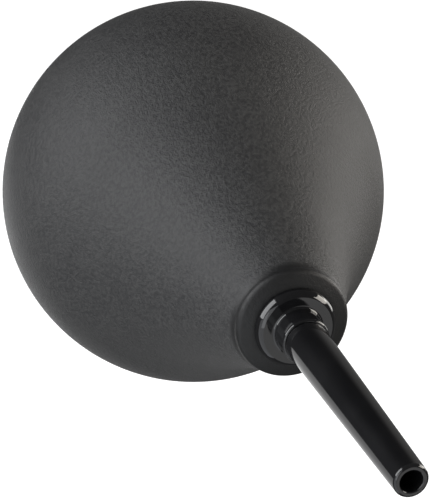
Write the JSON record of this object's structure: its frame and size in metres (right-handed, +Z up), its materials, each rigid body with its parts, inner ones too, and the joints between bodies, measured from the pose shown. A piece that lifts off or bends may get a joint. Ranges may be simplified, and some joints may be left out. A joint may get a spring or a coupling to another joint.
{
  "type": "dust blower bulb",
  "caption": "Pear-shaped rubber hand bulb with a tapered screw-in nozzle and a base inlet valve, squeezed to puff dust off small work.",
  "frame": {"origin": "centre of the foot, on the surface that the bulb stands on", "axes": "+Z up through the neck and along the nozzle, away from the bulb; X and Y are alike, because the shape is turned about Z"},
  "size_m": [0.06, 0.06, 0.1207],
  "materials": {
    "bulb_rubber": "matte black rubber with a fine moulded grain",
    "collar_plastic": "polished black moulded plastic",
    "nozzle_plastic": "polished black moulded plastic",
    "seal_rubber": "smooth black rubber",
    "valve_plastic": "satin black moulded plastic",
    "disc_rubber": "thin translucent grey silicone rubber"
  },
  "bodies": {
    "bulb": {"bulb": "bulb_rubber", "valve_body": "valve_plastic", "valve_cage": "valve_plastic"},
    "collar": {"collar": "collar_plastic"},
    "seal": {"nozzle_seal": "seal_rubber"},
    "nozzle": {"nozzle": "nozzle_plastic"},
    "valve_disc": {"valve_disc": "disc_rubber"}
  },
  "joints": [
    {"name": "bulb_squeeze", "type": "slide", "parent": "bulb", "child": "collar", "axis": [0, 0, -1], "range_m": [0, 0.02], "stiffness_N_per_m": 800, "deforming": ["bulb"]},
    {"name": "nozzle_unscrew", "type": "slide", "parent": "collar", "child": "seal", "axis": [0, 0, 1], "range_m": [0, 0.0045]},
    {"name": "nozzle_turn", "type": "hinge", "parent": "seal", "child": "nozzle", "pos_m": [0, 0, 0.0762], "axis": [0, 0, 1], "range_deg": [0, 1621]},
    {"name": "valve_lift", "type": "slide", "parent": "bulb", "child": "valve_disc", "axis": [0, 0, 1], "range_m": [0, 0.001]}
  ],
  "couplings": [
    {"joint": "nozzle_turn", "follows": "nozzle_unscrew", "rad_per_m": 6283.2}
  ]
}
